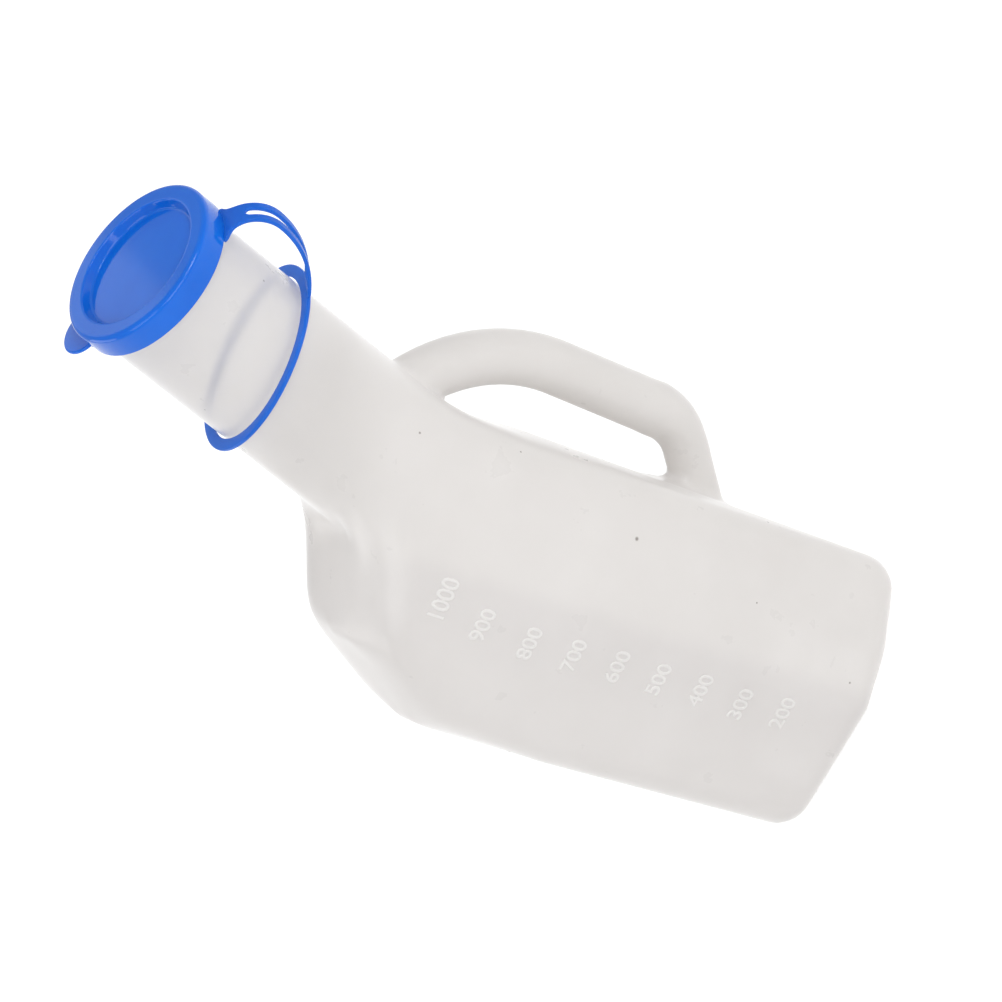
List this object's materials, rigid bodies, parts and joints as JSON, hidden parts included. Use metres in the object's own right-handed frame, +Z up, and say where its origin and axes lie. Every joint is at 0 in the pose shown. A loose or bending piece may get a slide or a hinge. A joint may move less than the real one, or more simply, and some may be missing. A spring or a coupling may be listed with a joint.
{
  "type": "urine bottle",
  "caption": "Hand-held urine bottle: milky hollow body with integral handle and slanted neck, and a tethered press-on cap that swings open and turns round the neck.",
  "frame": {"origin": "centre of the base's resting face, where the body's symmetry plane meets it", "axes": "+Z up from the base when the bottle stands; +X towards the handle and the side the neck leans to; the bottle is symmetric about the X-Z plane"},
  "size_m": [0.133, 0.078, 0.2897],
  "materials": {
    "milky_plastic": "translucent blow-moulded polyethylene, soft satin",
    "blue_plastic": "injection-moulded polyethylene, smooth satin gloss"
  },
  "bodies": {
    "bottle": {"bottle": "milky_plastic"},
    "tether": {"neck_ring": "blue_plastic", "tether_strap": "blue_plastic"},
    "cap": {"cap": "blue_plastic", "strap_web": "blue_plastic"}
  },
  "joints": [
    {"name": "tether_turn", "type": "hinge", "parent": "bottle", "child": "tether", "pos_m": [0.0616, 0, 0.2805], "axis": [0.3067, 0, 0.9518], "continuous": true},
    {"name": "cap_swing", "type": "hinge", "parent": "tether", "child": "cap", "pos_m": [0.08701, -0.02094, 0.26183], "axis": [0.5459, 0.8192, -0.1759], "range_deg": [0, 165]}
  ]
}
